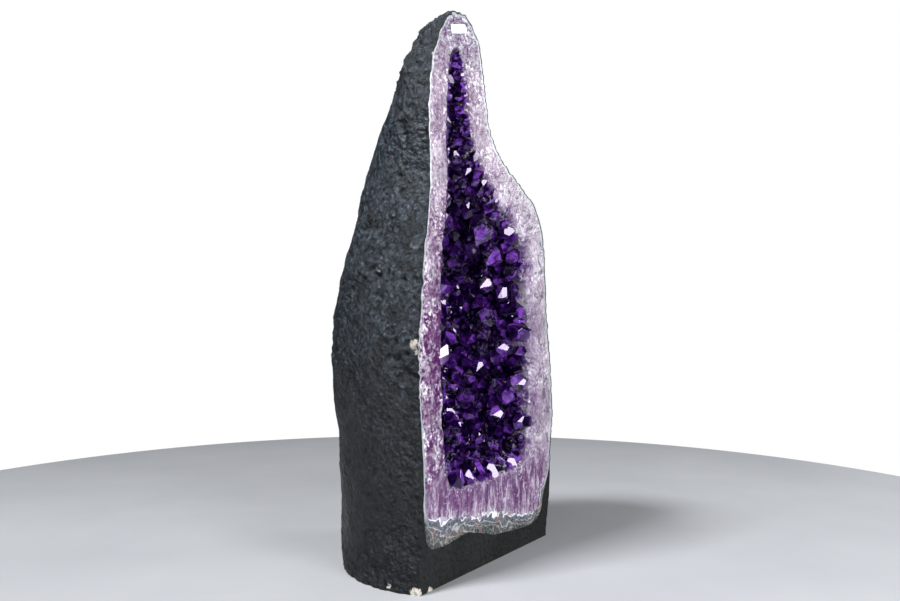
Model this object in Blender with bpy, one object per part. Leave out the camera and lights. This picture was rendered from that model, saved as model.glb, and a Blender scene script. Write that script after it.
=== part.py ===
"""Amethyst geode: a tall half nodule, sawn down its front and across its foot, that stands upright.

Metres, +Z up. The sawn front faces -Y and the origin is the middle of the footprint, on the floor.
From the outside in the nodule is a thin basalt shell, an agate lining, a thick band of pale quartz and
a crust of small dark crystals. The large crystals stand in sockets of that crust, and a blank paper
label is stuck to the front near the top.
"""

import math
import random

import bmesh
import bpy
from mathutils import Matrix, Vector, noise
from mathutils.bvhtree import BVHTree

# Each section of a nodule: height, left and right edge on the sawn front, and depth behind it.
# The first and last section of a list are its poles, which have no width.
OUTSIDE = (
    (-0.050, 0.000, 0.000, 0.190),
    (-0.046, -0.130, 0.120, 0.200),
    (-0.026, -0.200, 0.182, 0.230),
    (0.000, -0.219, 0.198, 0.252),
    (0.060, -0.213, 0.206, 0.264),
    (0.150, -0.206, 0.217, 0.272),
    (0.230, -0.212, 0.224, 0.279),
    (0.340, -0.223, 0.214, 0.286),
    (0.450, -0.216, 0.198, 0.270),
    (0.540, -0.200, 0.190, 0.247),
    (0.600, -0.192, 0.170, 0.228),
    (0.640, -0.190, 0.116, 0.206),
    (0.680, -0.192, 0.034, 0.172),
    (0.720, -0.194, -0.006, 0.138),
    (0.775, -0.192, -0.024, 0.104),
    (0.830, -0.182, -0.036, 0.084),
    (0.873, -0.156, -0.050, 0.064),
    (0.898, -0.132, -0.072, 0.048),
    (0.905, -0.102, -0.102, 0.042),
)
CAVITY = (
    (0.142, -0.006, -0.006, 0.110),
    (0.145, -0.108, 0.096, 0.125),
    (0.162, -0.138, 0.124, 0.160),
    (0.240, -0.148, 0.136, 0.192),
    (0.340, -0.154, 0.137, 0.203),
    (0.440, -0.156, 0.131, 0.198),
    (0.530, -0.152, 0.120, 0.178),
    (0.580, -0.140, 0.078, 0.156),
    (0.630, -0.137, 0.000, 0.128),
    (0.690, -0.139, -0.062, 0.096),
    (0.760, -0.137, -0.080, 0.068),
    (0.822, -0.130, -0.097, 0.050),
    (0.852, -0.113, -0.113, 0.042),
)
HOLLOW = (
    (0.156, -0.006, -0.006, 0.105),
    (0.159, -0.096, 0.083, 0.117),
    (0.175, -0.127, 0.113, 0.150),
    (0.245, -0.138, 0.126, 0.182),
    (0.340, -0.144, 0.127, 0.193),
    (0.440, -0.146, 0.121, 0.188),
    (0.524, -0.142, 0.110, 0.168),
    (0.574, -0.131, 0.068, 0.147),
    (0.622, -0.128, -0.008, 0.119),
    (0.682, -0.130, -0.071, 0.088),
    (0.752, -0.128, -0.089, 0.061),
    (0.807, -0.122, -0.104, 0.046),
    (0.832, -0.113, -0.113, 0.041),
)
SETBACK = 0.2  # how far behind the sawn front a section is widest, as a share of its depth
LUMP, LUMP_SIZE = 0.004, 0.11  # height and width of the nodule's broad unevenness

OUTER_GRID = (36, 30)  # facets around and along a nodule
LINING_GRID = (28, 26)
CAVITY_GRID = (26, 22)

SHELL_WALL = 0.005
AGATE_WALL = 0.006
CRUST_POINT = 0.008  # how far the crust's small crystals stand out of it
GAP = 0.0004  # between solids that touch

# Where the linings end above the foot: height over x. The agate pools there, thickest left of middle.
FOOT_TOP = ((-0.215, 0.046), (-0.090, 0.065), (0.030, 0.040), (0.200, 0.020))
AGATE_TOP = ((-0.205, 0.104), (-0.100, 0.084), (0.020, 0.083), (0.090, 0.060), (0.190, 0.032))
FOOT_REACH = 0.20  # above this height the linings follow the outside alone
FOOT_TAPER = 0.06  # how much narrower they get towards their foot

CRYSTALS = 50
CRYSTAL_RADIUS = (0.015, 0.027)
CRYSTAL_TRIES = 9000
CRYSTAL_ROOT = 0.0045  # how far a crystal's root is above the quartz, inside the crust
CRYSTAL_CLEARANCE = 0.0015  # least distance from the corners of a root to the quartz
NECK_HEIGHT = 0.62  # above it the cavity is a slot, which holds smaller crystals
NECK_SCALE = 0.5
FRONT_CLEARANCE = 0.012  # between a crystal and the sawn front

LABEL_SIZE = (0.045, 0.0004, 0.014)
LABEL_AT = (-0.111, 0.877)  # x and height of its middle
LABEL_TURN = math.radians(-14)  # about +Y: it is stuck on askew, with its right end up

MATERIALS = {
    "basalt": ((0.050, 0.060, 0.064), 0.55),
    "agate": ((0.74, 0.77, 0.80), 0.22),
    "quartz": ((0.55, 0.40, 0.62), 0.20),
    "amethyst_crust": ((0.060, 0.018, 0.120), 0.12),
    "amethyst_crystal": ((0.075, 0.020, 0.170), 0.06),
    "label_paper": ((0.90, 0.90, 0.88), 0.60),
}


def clear_scene():
    """Removes what the scene starts with."""
    for obj in list(bpy.data.objects):
        bpy.data.objects.remove(obj)


def new_collection(name):
    """A collection linked to the scene."""
    collection = bpy.data.collections.new(name)
    bpy.context.scene.collection.children.link(collection)
    return collection


def make_material(name):
    """A Principled material of one of the named finishes."""
    colour, roughness = MATERIALS[name]
    material = bpy.data.materials.new(name)
    material.use_nodes = True
    shader = material.node_tree.nodes["Principled BSDF"]
    shader.inputs["Base Color"].default_value = (*colour, 1.0)
    shader.inputs["Roughness"].default_value = roughness
    shader.inputs["Metallic"].default_value = 0.0
    return material


def make_object(name, bm, collection, material=None):
    """An object of this mesh. With no material it is a cutter, which isn't part of the geode."""
    bmesh.ops.recalc_face_normals(bm, faces=bm.faces)
    if bm.calc_volume(signed=True) < 0:
        bmesh.ops.reverse_faces(bm, faces=bm.faces)
    mesh = bpy.data.meshes.new(name)
    bm.to_mesh(mesh)
    bm.free()
    obj = bpy.data.objects.new(name, mesh)
    collection.objects.link(obj)
    if material:
        mesh.materials.append(material)
    else:
        obj.hide_render = True
        obj.display_type = "WIRE"
    return obj


def on_curve(stations, along):
    """The values at a share of the way along a Catmull-Rom curve through the stations."""
    place = along * (len(stations) - 1)
    i = min(int(place), len(stations) - 2)
    t = place - i
    before, start = stations[max(i - 1, 0)], stations[i]
    end, after = stations[i + 1], stations[min(i + 2, len(stations) - 1)]
    return [
        0.5 * (2 * b + (c - a) * t + (2 * a - 5 * b + 4 * c - d) * t**2 + (3 * b - a - 3 * c + d) * t**3)
        for a, b, c, d in zip(before, start, end, after)
    ]


def height_over(x, line):
    """The height of a line of (x, height) points at x, eased between the points."""
    if x <= line[0][0]:
        return line[0][1]
    for (x0, z0), (x1, z1) in zip(line, line[1:]):
        if x <= x1:
            t = (x - x0) / (x1 - x0)
            return z0 + (z1 - z0) * t * t * (3 - 2 * t)
    return line[-1][1]


def sink(bm, distance):
    """Moves the surface inwards, along its normals."""
    bmesh.ops.recalc_face_normals(bm, faces=bm.faces)
    bm.normal_update()
    moved = [v.co - v.normal * distance for v in bm.verts]
    for v, place in zip(bm.verts, moved):
        v.co = place


def nodule(sections, around, rings, inset=0.0, foot=None, gap=0.0):
    """A closed nodule through the sections, moved inwards by inset and by a further gap.

    With foot, a line of (x, height) points, the bottom is raised to stand on that line.
    """
    bm = bmesh.new()
    bmesh.ops.create_uvsphere(bm, u_segments=around, v_segments=rings, radius=1.0)
    width_at_front = math.sqrt(1 - (SETBACK / (1 - SETBACK)) ** 2)
    for v in bm.verts:
        along = math.acos(max(-1.0, min(1.0, -v.co.z))) / math.pi
        height, left, right, depth = on_curve(sections, along)
        turn = Vector((v.co.x, v.co.y))
        if turn.length > 1e-4:
            turn.normalize()
        half_width = 0.5 * (right - left) / width_at_front
        half_depth = (1 - SETBACK) * depth
        v.co = (
            0.5 * (left + right) + half_width * turn.x,
            SETBACK * depth + half_depth * turn.y,
            height,
        )
    for v in bm.verts:
        v.co += v.co.normalized() * LUMP * noise.noise(v.co / LUMP_SIZE)
    sink(bm, inset)
    if foot:
        lowest = min(v.co.z for v in bm.verts)
        for v in bm.verts:
            if v.co.z < FOOT_REACH:
                share = (FOOT_REACH - v.co.z) / (FOOT_REACH - lowest)
                v.co.z = FOOT_REACH - share * (FOOT_REACH - height_over(v.co.x, foot))
                v.co.xy *= 1 - FOOT_TAPER * share
    sink(bm, gap)
    return bm


def split(bm):
    """Splits the faces the same way in every copy, so that nested surfaces keep their gap."""
    bmesh.ops.triangulate(bm, faces=bm.faces, quad_method="FIXED")
    return bm


def pointed(bm):
    """Raises every face of a void to a point inwards, lower where the faces are small."""
    rng = random.Random(3)
    # Poke returns its points in any order, so they are sorted to take the same draws each run.
    points = sorted(bmesh.ops.poke(bm, faces=bm.faces)["verts"], key=lambda v: v.co[:])
    bm.normal_update()
    moves = []
    for v in points:
        reach = min(edge.calc_length() for edge in v.link_edges)
        moves.append(v.normal * rng.uniform(0.7, 1.0) * min(CRUST_POINT, 0.35 * reach))
    for v, move in zip(points, moves):
        v.co -= move
    return bm


def saw(bm, through, away):
    """Cuts off what lies beyond the plane and closes the cut."""
    geometry = bm.verts[:] + bm.edges[:] + bm.faces[:]
    bmesh.ops.bisect_plane(bm, geom=geometry, plane_co=through, plane_no=away, clear_outer=True)
    bmesh.ops.holes_fill(bm, edges=[e for e in bm.edges if e.is_boundary])
    return bm


def hollow(obj, cutter, solver="EXACT"):
    """Cuts the cutter's shape, an object or a collection of objects, out of the object."""
    cut = obj.modifiers.new("hollow_" + cutter.name, "BOOLEAN")
    cut.operation = "DIFFERENCE"
    cut.solver = solver
    if isinstance(cutter, bpy.types.Collection):
        cut.operand_type = "COLLECTION"
        cut.collection = cutter
    else:
        cut.object = cutter


def layer(name, bm, void, material, parts, solver="EXACT"):
    """One lining of the geode: a nodule sawn at the front, with the next nodule inwards cut out."""
    saw(bm, (0, 0, 0), (0, -1, 0))
    obj = make_object(name, bm, parts, material)
    hollow(obj, void, solver)
    return obj


def build_linings(parts, cutters, paint):
    """The shell, the agate, the quartz and the crystal crust, nested with a small gap between them."""
    outer = saw(split(nodule(OUTSIDE, *OUTER_GRID)), (0, 0, 0), (0, 0, -1))
    inside_shell = split(nodule(OUTSIDE, *LINING_GRID, SHELL_WALL, FOOT_TOP))
    inside_agate = split(nodule(OUTSIDE, *LINING_GRID, SHELL_WALL + AGATE_WALL, AGATE_TOP))
    inside_quartz = split(nodule(CAVITY, *CAVITY_GRID))
    inside_crust = pointed(nodule(HOLLOW, *CAVITY_GRID))

    shell_void = make_object("shell_void", inside_shell, cutters)
    agate_void = make_object("agate_void", inside_agate, cutters)
    quartz_void = make_object("quartz_void", inside_quartz, cutters)
    crust_void = make_object("crust_void", inside_crust, cutters)

    agate = split(nodule(OUTSIDE, *LINING_GRID, SHELL_WALL, FOOT_TOP, GAP))
    quartz = split(nodule(OUTSIDE, *LINING_GRID, SHELL_WALL + AGATE_WALL, AGATE_TOP, GAP))
    crust = split(nodule(CAVITY, *CAVITY_GRID, gap=GAP))
    layer("basalt_shell", outer, shell_void, paint["basalt"], parts)
    layer("agate_lining", agate, agate_void, paint["agate"], parts)
    layer("quartz_band", quartz, quartz_void, paint["quartz"], parts)
    # The exact solver leaves nothing of the crust, whose void is all points.
    return layer("amethyst_crust", crust, crust_void, paint["amethyst_crust"], parts, "MANIFOLD")


def crystal_mesh(radius, length, point, lean, grow=0.0):
    """A six-sided prism along +Z from its root at the origin, ending in a six-sided point.

    lean moves the tip off the axis, and grow makes a slightly larger copy for the socket.
    """
    bm = bmesh.new()
    shaft = length - point
    bmesh.ops.create_cone(
        bm,
        cap_ends=True,
        segments=6,
        radius1=radius + grow * 1.2,
        radius2=radius * 0.94 + grow * 1.2,
        depth=shaft + 2 * grow,
        matrix=Matrix.Translation((0, 0, shaft / 2)),
    )
    top = max(bm.faces, key=lambda face: face.calc_center_median().z)
    tip = bmesh.ops.poke(bm, faces=[top], offset=point)["verts"][0]
    tip.co.x += lean * radius
    return bm


def crystal_place(root, axis, spin):
    """The matrix that stands a crystal on its root, along its axis, turned about it by spin."""
    turned = axis.to_track_quat("Z", "Y").to_matrix().to_4x4()
    return Matrix.Translation(root) @ turned @ Matrix.Rotation(spin, 4, "Z")


def clear_of(root, axis, length, radius, others):
    """Whether a crystal's axis keeps both radii away from the axis of every other crystal."""
    steps = [i / 6 for i in range(7)]
    for other in others:
        reach = radius + other["radius"] + 0.0008
        for a in steps:
            here = root + axis * length * a
            for b in steps:
                if (here - other["root"] - other["axis"] * other["length"] * b).length < reach:
                    return False
    return True


def root_clears(wall, place, radius):
    """Whether every corner of a crystal's root is inside the quartz's cavity."""
    for i in range(6):
        turn = i * math.pi / 3
        corner = place @ Vector((radius * math.sin(turn), radius * math.cos(turn), 0))
        nearest, normal, _, _ = wall.find_nearest(corner)
        if (corner - nearest).dot(normal) > -CRYSTAL_CLEARANCE:
            return False
    return True


def choose_crystals():
    """Where the large crystals stand: seeded picks on the cavity's wall that don't meet each other."""
    rng = random.Random(11)
    wall = split(nodule(CAVITY, *CAVITY_GRID))
    surface = BVHTree.FromBMesh(wall)
    faces = [f for f in wall.faces if f.calc_center_median().y > FRONT_CLEARANCE]
    # Triangulate leaves its faces in any order, so they are sorted to take the same draws each run.
    faces.sort(key=lambda face: face.calc_center_median()[:])
    chosen = []
    for _ in range(CRYSTAL_TRIES):
        if len(chosen) == CRYSTALS:
            break
        face = rng.choice(faces)
        inward = -face.normal
        scale = NECK_SCALE if face.calc_center_median().z > NECK_HEIGHT else 1.0
        radius = scale * rng.uniform(*CRYSTAL_RADIUS)
        length = radius * rng.uniform(1.75, 2.1)
        tilt = Vector((rng.uniform(-1, 1), rng.uniform(-1, 1), rng.uniform(-1, 1))) * 0.14
        axis = (inward + tilt).normalized()
        spin = rng.uniform(0, math.pi / 3)
        root = face.calc_center_median() + inward * (CRYSTAL_ROOT + 0.16 * radius)
        tip = root + axis * length
        if not root_clears(surface, crystal_place(root, axis, spin), radius):
            continue
        if min(root.y - radius * abs(axis.z + axis.x) * 0.9, tip.y) < FRONT_CLEARANCE:
            continue
        if not clear_of(root, axis, length, radius, chosen):
            continue
        chosen.append(
            {
                "root": root,
                "axis": axis,
                "length": length,
                "radius": radius,
                "point": radius * rng.uniform(0.95, 1.15),
                "lean": rng.uniform(-0.16, 0.16),
                "spin": spin,
            }
        )
    wall.free()
    return sorted(chosen, key=lambda crystal: crystal["root"].z)


def build_crystals(crust, parts, sockets, paint):
    """The large crystals and the sockets in the crust that they stand in."""
    for number, crystal in enumerate(choose_crystals(), 1):
        size = [crystal[k] for k in ("radius", "length", "point", "lean")]
        place = crystal_place(crystal["root"], crystal["axis"], crystal["spin"])
        name = f"crystal_{number:02d}"
        solid = make_object(name, crystal_mesh(*size), parts, paint["amethyst_crystal"])
        socket = make_object(name + "_socket", crystal_mesh(*size, grow=GAP), sockets)
        solid.matrix_world = place
        socket.matrix_world = place
    hollow(crust, sockets, "MANIFOLD")


def build_label(parts, paint):
    """The blank paper label on the sawn front."""
    bm = bmesh.new()
    bmesh.ops.create_cube(bm, size=1.0, matrix=Matrix.Diagonal((*LABEL_SIZE, 1)))
    label = make_object("paper_label", bm, parts, paint["label_paper"])
    label.location = (LABEL_AT[0], -LABEL_SIZE[1] / 2 - GAP, LABEL_AT[1])
    label.rotation_euler.y = LABEL_TURN


def centre_on_footprint(collections):
    """Moves everything so that the origin is the middle of the geode's box, on the floor."""
    bpy.context.view_layer.update()
    graph = bpy.context.evaluated_depsgraph_get()
    corners = [
        obj.matrix_world @ Vector(corner)
        for obj in collections[0].objects
        for corner in obj.evaluated_get(graph).bound_box
    ]
    middle = [0.5 * (min(c[k] for c in corners) + max(c[k] for c in corners)) for k in (0, 1)]
    shift = Matrix.Translation((-middle[0], -middle[1], 0))
    for collection in collections:
        for obj in collection.objects:
            obj.matrix_world = shift @ obj.matrix_world


def main():
    clear_scene()
    parts = new_collection("amethyst_geode")
    cutters = new_collection("cutters")
    sockets = new_collection("crystal_sockets")
    paint = {name: make_material(name) for name in MATERIALS}
    crust = build_linings(parts, cutters, paint)
    build_crystals(crust, parts, sockets, paint)
    build_label(parts, paint)
    centre_on_footprint((parts, cutters, sockets))


main()
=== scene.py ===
"""Looks of a tall amethyst geode: a half nodule sawn down its front and across its foot.

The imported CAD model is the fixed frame. Every surface is measured from it with rays that leave a
spine in the plane of the sawn front, so that the fine pieces lie where the solids are. Metres, +Z up,
and the sawn front faces -Y.
"""

from __future__ import annotations

import logging
import math
import random
from dataclasses import dataclass, field
from enum import Enum

import bmesh
import bpy
import numpy as np
from mathutils import Matrix, Vector, noise
from mathutils.bvhtree import BVHTree

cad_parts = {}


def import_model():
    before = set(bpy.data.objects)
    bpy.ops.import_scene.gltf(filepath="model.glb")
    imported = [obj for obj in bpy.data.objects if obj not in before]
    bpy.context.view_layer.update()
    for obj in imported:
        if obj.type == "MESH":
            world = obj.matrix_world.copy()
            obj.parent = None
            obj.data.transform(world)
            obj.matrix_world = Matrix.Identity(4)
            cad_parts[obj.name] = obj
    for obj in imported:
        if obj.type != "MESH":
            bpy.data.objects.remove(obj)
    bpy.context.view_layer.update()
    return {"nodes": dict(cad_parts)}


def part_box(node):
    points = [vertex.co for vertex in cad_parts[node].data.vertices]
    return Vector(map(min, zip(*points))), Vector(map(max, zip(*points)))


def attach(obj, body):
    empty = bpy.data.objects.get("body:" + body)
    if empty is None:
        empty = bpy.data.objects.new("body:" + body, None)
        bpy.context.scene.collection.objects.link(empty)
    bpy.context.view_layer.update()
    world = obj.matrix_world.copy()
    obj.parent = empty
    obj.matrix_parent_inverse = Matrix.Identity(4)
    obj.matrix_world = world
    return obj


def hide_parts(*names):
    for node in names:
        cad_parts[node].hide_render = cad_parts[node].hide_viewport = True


LOG = logging.getLogger("geode")
CRYSTAL_TALL = 2.2  # a crystal's natural length, in radii
BACK = Vector((0.0, 1.0, 0.0))
UP = Vector((0.0, 0.0, 1.0))
ROOT = "root"
GRID_MERGE = 0.00002  # corners of a grid that are closer than this are one
SEAM_MERGE = 0.0004  # the same where the shell's front meets its outside
SKIM = 0.0008  # how far behind the front the outlines are measured
BEHIND = 0.0003  # how far behind the front its linings stay at least

Colour = tuple[float, float, float]
Stops = tuple[tuple[float, Colour], ...]
Bends = tuple[tuple[float, float], ...]
Socket = bpy.types.NodeSocket
Object = bpy.types.Object
Mesh = bmesh.types.BMesh


# ---- Measuring the CAD model ----


class Solid:
    """The surface of one or more CAD nodes, for rays."""

    def __init__(self, nodes: dict[str, Object], *names: str) -> None:
        """Keeps the nodes' faces in a tree."""
        bm = bmesh.new()
        for name in names:
            bm.from_mesh(nodes[name].data)
        self.tree = BVHTree.FromBMesh(bm)
        bm.free()

    def from_inside(self, origin: Vector, way: Vector) -> float:
        """How far it is from origin to the first surface along way."""
        _, _, _, distance = self.tree.ray_cast(origin, way)
        return distance if distance is not None else float("nan")

    def from_outside(self, origin: Vector, way: Vector, far: float = 1.2) -> float:
        """How far the outermost surface along way is from origin."""
        _, _, _, distance = self.tree.ray_cast(origin + way * far, -way)
        return far - distance if distance is not None else float("nan")

    def distance(self, place: Vector) -> float:
        """How far a point is from the surface."""
        return self.tree.find_nearest(place)[3]


@dataclass(frozen=True)
class Spine:
    """A smooth line in the plane of the sawn front that surfaces are measured from.

    Attributes:
        bends: x and height of the points that it passes, from the bottom up.
        front: y of the sawn front.
    """

    bends: Bends
    front: float

    def at(self, share: float) -> tuple[Vector, Vector]:
        """A point of the spine and the way up along it.

        Args:
            share: How far along, from 0 at the bottom to 1 at the top.

        Returns:
            The point and the unit vector along the spine there.
        """
        here = self._point(share)
        along = self._point(min(share + 0.01, 1.0)) - self._point(max(share - 0.01, 0.0))
        return here, along.normalized()

    def _point(self, share: float) -> Vector:
        """The point at a share of the way, on a curve through the bends."""
        place = share * (len(self.bends) - 1)
        i = min(int(place), len(self.bends) - 2)
        t = place - i
        ends = [self.bends[k] for k in (max(i - 1, 0), i, i + 1, min(i + 2, len(self.bends) - 1))]
        x, z = (
            0.5 * (2 * b + (c - a) * t + (2 * a - 5 * b + 4 * c - d) * t**2 + (3 * b - a - 3 * c + d) * t**3)
            for a, b, c, d in zip(*ends)
        )
        return Vector((x, self.front, z))


@dataclass(frozen=True)
class Sweep:
    """Rays that leave a spine sideways and to the back, and fan out at its ends.

    Attributes:
        spine: Where the rays start.
        rows: Rows of rays along the spine.
        columns: Rays in a row, from the left edge round the back to the right edge.
        fan_low: Extra rows that turn down to a pole below the spine's lower end.
        fan_high: Extra rows that turn up to a pole above its upper end.
    """

    spine: Spine
    rows: int
    columns: int
    fan_low: int = 0
    fan_high: int = 0

    def rays(self) -> list[list[tuple[Vector, Vector]]]:
        """The origin and direction of every ray, row by row from the bottom."""
        lifts = [(0.0, -math.pi / 2 * (1 - i / self.fan_low)) for i in range(self.fan_low)]
        lifts += [(i / (self.rows - 1), 0.0) for i in range(self.rows)]
        lifts += [(1.0, math.pi / 2 * (i + 1) / self.fan_high) for i in range(self.fan_high)]
        grid = []
        for share, lift in lifts:
            origin, along = self.spine.at(share)
            side = along.cross(BACK).normalized() * -1.0
            row = []
            for j in range(self.columns):
                turn = math.pi * j / (self.columns - 1)
                flat = side * math.cos(turn) + BACK * math.sin(turn)
                row.append((origin, (flat * math.cos(lift) + along * math.sin(lift)).normalized()))
            grid.append(row)
        return grid

    def reach(self, solid: Solid, outside: bool, blur: float = 6.0) -> np.ndarray:
        """Distances to the solid along every ray, smoothed.

        Args:
            solid: What the rays meet.
            outside: Whether they meet it from outside or from the spine.
            blur: Width of the smoothing, in rays.

        Returns:
            The distances, rows by columns.
        """
        cast = solid.from_outside if outside else solid.from_inside
        reach = np.array([[cast(*ray) for ray in row] for row in self.rays()])
        return smooth(smooth(fill_misses(reach), blur, 0), blur, 1)

    def points(self, reach: np.ndarray) -> np.ndarray:
        """The places at those distances, rows by columns by three."""
        return np.array(
            [
                [tuple(origin + way * far) for (origin, way), far in zip(row, distances)]
                for row, distances in zip(self.rays(), reach)
            ]
        )


def fill_misses(values: np.ndarray) -> np.ndarray:
    """Gives every ray that met nothing the value of the ray before it."""
    flat = values.copy().ravel()
    for i in range(1, len(flat)):
        if math.isnan(flat[i]):
            flat[i] = flat[i - 1]
    return flat.reshape(values.shape)


def smooth(values: np.ndarray, width: float, axis: int = 0, ring: bool = False) -> np.ndarray:
    """Gaussian smoothing along one axis.

    Args:
        values: Numbers to smooth.
        width: Standard deviation in samples.
        axis: The axis that is smoothed.
        ring: Whether the samples close on themselves.

    Returns:
        The smoothed copy.
    """
    reach = int(3 * width) + 1
    taps = np.exp(-0.5 * (np.arange(-reach, reach + 1) / width) ** 2)
    taps /= taps.sum()
    pad = [(0, 0)] * values.ndim
    pad[axis] = (reach, reach)
    padded = np.pad(values, pad, mode="wrap" if ring else "edge")
    return np.apply_along_axis(lambda line: np.convolve(line, taps, mode="valid"), axis, padded)


# ---- Mesh tools ----


def laid_grid(points: np.ndarray, ring: bool = False) -> Mesh:
    """A grid of faces laid on points.

    Args:
        points: Places, rows by columns by three.
        ring: Whether the last row joins the first.

    Returns:
        The mesh, with coincident corners merged.
    """
    if ring:
        points = np.concatenate([points, points[:1]])
    rows, columns = points.shape[:2]
    bm = bmesh.new()
    bmesh.ops.create_grid(bm, x_segments=columns - 1, y_segments=rows - 1, size=1.0)
    for v in bm.verts:
        j = round((v.co.x + 1) / 2 * (columns - 1))
        i = round((v.co.y + 1) / 2 * (rows - 1))
        v.co = points[i, j]
    bmesh.ops.remove_doubles(bm, verts=bm.verts, dist=GRID_MERGE)
    return bm


def grid_normals(points: np.ndarray) -> np.ndarray:
    """Unit normals of a grid of places, by the differences along rows and columns."""
    across = np.gradient(points, axis=1)
    along = np.gradient(points, axis=0)
    normals = np.cross(across, along)
    return normals / np.maximum(np.linalg.norm(normals, axis=2, keepdims=True), 1e-9)


def mottle(place: Vector, size: float, octaves: int = 3, seed: float = 0.0) -> float:
    """Fractal noise between about -1 and 1 whose lumps have the given size."""
    return noise.fractal(place / size + Vector((seed, seed, seed)), 1.0, 2.0, octaves)


def clamped(value: float, low: float = 0.0, high: float = 1.0) -> float:
    """The value, kept between two limits."""
    return min(high, max(low, value))


def mesh_object(name: str, bm: Mesh, smooth_faces: bool = True) -> Object:
    """An object of this mesh at the origin, linked to the scene. The bmesh is used up."""
    for face in bm.faces:
        face.smooth = smooth_faces
    mesh = bpy.data.meshes.new(name)
    bm.to_mesh(mesh)
    bm.free()
    piece = bpy.data.objects.new(name, mesh)
    bpy.context.scene.collection.objects.link(piece)
    return piece


def store(piece: Object, name: str, values: np.ndarray) -> None:
    """Keeps one number or one vector for each corner under a name that materials read."""
    kind, key = ("FLOAT", "value") if values.ndim == 1 else ("FLOAT_VECTOR", "vector")
    layer = piece.data.attributes.new(name, kind, "POINT")
    layer.data.foreach_set(key, values.astype(np.float32).ravel())


# ---- Materials ----


class Coordinate(Enum):
    """Where a pattern takes its coordinates from."""

    OBJECT = "object"
    GRAIN = "grain"


class Paint:
    """A Principled material under construction."""

    def __init__(self, name: str) -> None:
        """Starts a material whose shader has its default values."""
        self.material = bpy.data.materials.new(name)
        self.material.use_nodes = True
        self.tree = self.material.node_tree
        self.shader = self.tree.nodes["Principled BSDF"]

    def set(self, **values: float | tuple[float, ...]) -> None:
        """Sets plain values on the shader, by socket name with _ for a space."""
        for name, value in values.items():
            self.shader.inputs[name.replace("_", " ")].default_value = value

    def node(self, kind: str, inputs: dict | None = None, **settings) -> bpy.types.Node:
        """A node with its inputs set or linked.

        Args:
            kind: The node's type without the ShaderNode prefix.
            inputs: Values or output sockets, by input name or number.
            settings: Properties of the node.

        Returns:
            The node.
        """
        made = self.tree.nodes.new("ShaderNode" + kind)
        for name, value in settings.items():
            setattr(made, name, value)
        for name, value in (inputs or {}).items():
            self._feed(made.inputs[name], value)
        return made

    def _feed(self, socket: Socket, value: object) -> None:
        """Links a socket to an output, or sets its value."""
        if isinstance(value, Socket):
            self.tree.links.new(value, socket)
        else:
            socket.default_value = value

    def link(self, output: Socket, socket: str) -> None:
        """Feeds one of the shader's sockets."""
        self.tree.links.new(output, self.shader.inputs[socket])

    def coordinate(self, kind: Coordinate, stretch: tuple[float, float, float] = (1, 1, 1)) -> Socket:
        """Coordinates for a pattern, stretched along each axis."""
        if kind is Coordinate.OBJECT:
            source = self.node("TexCoord").outputs["Object"]
        else:
            source = self.node("Attribute", attribute_name=kind.value).outputs["Vector"]
        return self.node("Mapping", {"Vector": source, "Scale": stretch}).outputs["Vector"]

    def height(self, where: Socket) -> Socket:
        """Height above the floor."""
        return self.node("SeparateXYZ", {"Vector": where}).outputs["Z"]

    def value(self, name: str) -> Socket:
        """A number stored on the mesh."""
        return self.node("Attribute", attribute_name=name).outputs["Fac"]

    def noise(
        self, where: Socket, scale: float, detail: float, rough: float = 0.55, twist: float = 0.0
    ) -> Socket:
        """Smooth noise from 0 to 1."""
        inputs = {"Vector": where, "Scale": scale, "Detail": detail, "Roughness": rough, "Distortion": twist}
        return self.node("TexNoise", inputs).outputs["Fac"]

    def cells(self, where: Socket, scale: float, feature: str = "F1", output: str = "Distance") -> Socket:
        """A pattern of cells."""
        return self.node("TexVoronoi", {"Vector": where, "Scale": scale}, feature=feature).outputs[output]

    def ramp(self, factor: Socket, stops: Stops) -> Socket:
        """Colours along a factor."""
        made = self.node("ValToRGB", {"Fac": factor})
        elements = made.color_ramp.elements
        while len(elements) < len(stops):
            elements.new(0.5)
        for element, (place, colour) in zip(elements, stops):
            element.position = place
            element.color = (*colour, 1.0)
        return made.outputs["Color"]

    def span(
        self, factor: Socket, low: float, high: float, to_low: float = 0.0, to_high: float = 1.0
    ) -> Socket:
        """Maps a range of a factor to another, and clamps it."""
        inputs = {"Value": factor, "From Min": low, "From Max": high, "To Min": to_low, "To Max": to_high}
        return self.node("MapRange", inputs).outputs["Result"]

    def mix(self, factor: Socket, first: Socket | Colour, second: Socket | Colour) -> Socket:
        """Mixes two colours."""
        made = self.node("Mix", data_type="RGBA")
        sockets = {s.identifier: s for s in made.inputs}
        self._feed(sockets["Factor_Float"], factor)
        for name, colour in (("A_Color", first), ("B_Color", second)):
            self._feed(sockets[name], colour if isinstance(colour, Socket) else (*colour, 1.0))
        return next(s for s in made.outputs if s.identifier == "Result_Color")

    def math(self, kind: str, first: Socket | float, second: Socket | float) -> Socket:
        """Arithmetic on two numbers or sockets."""
        return self.node("Math", {0: first, 1: second}, operation=kind).outputs["Value"]

    def product(self, *factors: Socket | float) -> Socket:
        """The factors multiplied together."""
        whole = factors[0]
        for factor in factors[1:]:
            whole = self.math("MULTIPLY", whole, factor)
        return whole

    def lay(self, colour: Socket, *layers: tuple) -> Socket:
        """Lays colours over a colour, one after another.

        Args:
            colour: The colour at the bottom.
            layers: Each a colour and the factors whose product is its share.

        Returns:
            The colour on top.
        """
        for top, *factors in layers:
            colour = self.mix(self.product(*factors), colour, top)
        return colour

    def bump(self, *layers: tuple[Socket, float, float]) -> None:
        """Stacks layers of bump, each a height from 0 to 1, its depth in metres and its strength."""
        normal = None
        for height, depth, strength in layers:
            inputs = {"Height": height, "Distance": depth, "Strength": strength}
            if normal:
                inputs["Normal"] = normal
            normal = self.node("Bump", inputs).outputs["Normal"]
        self.link(normal, "Normal")


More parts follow.
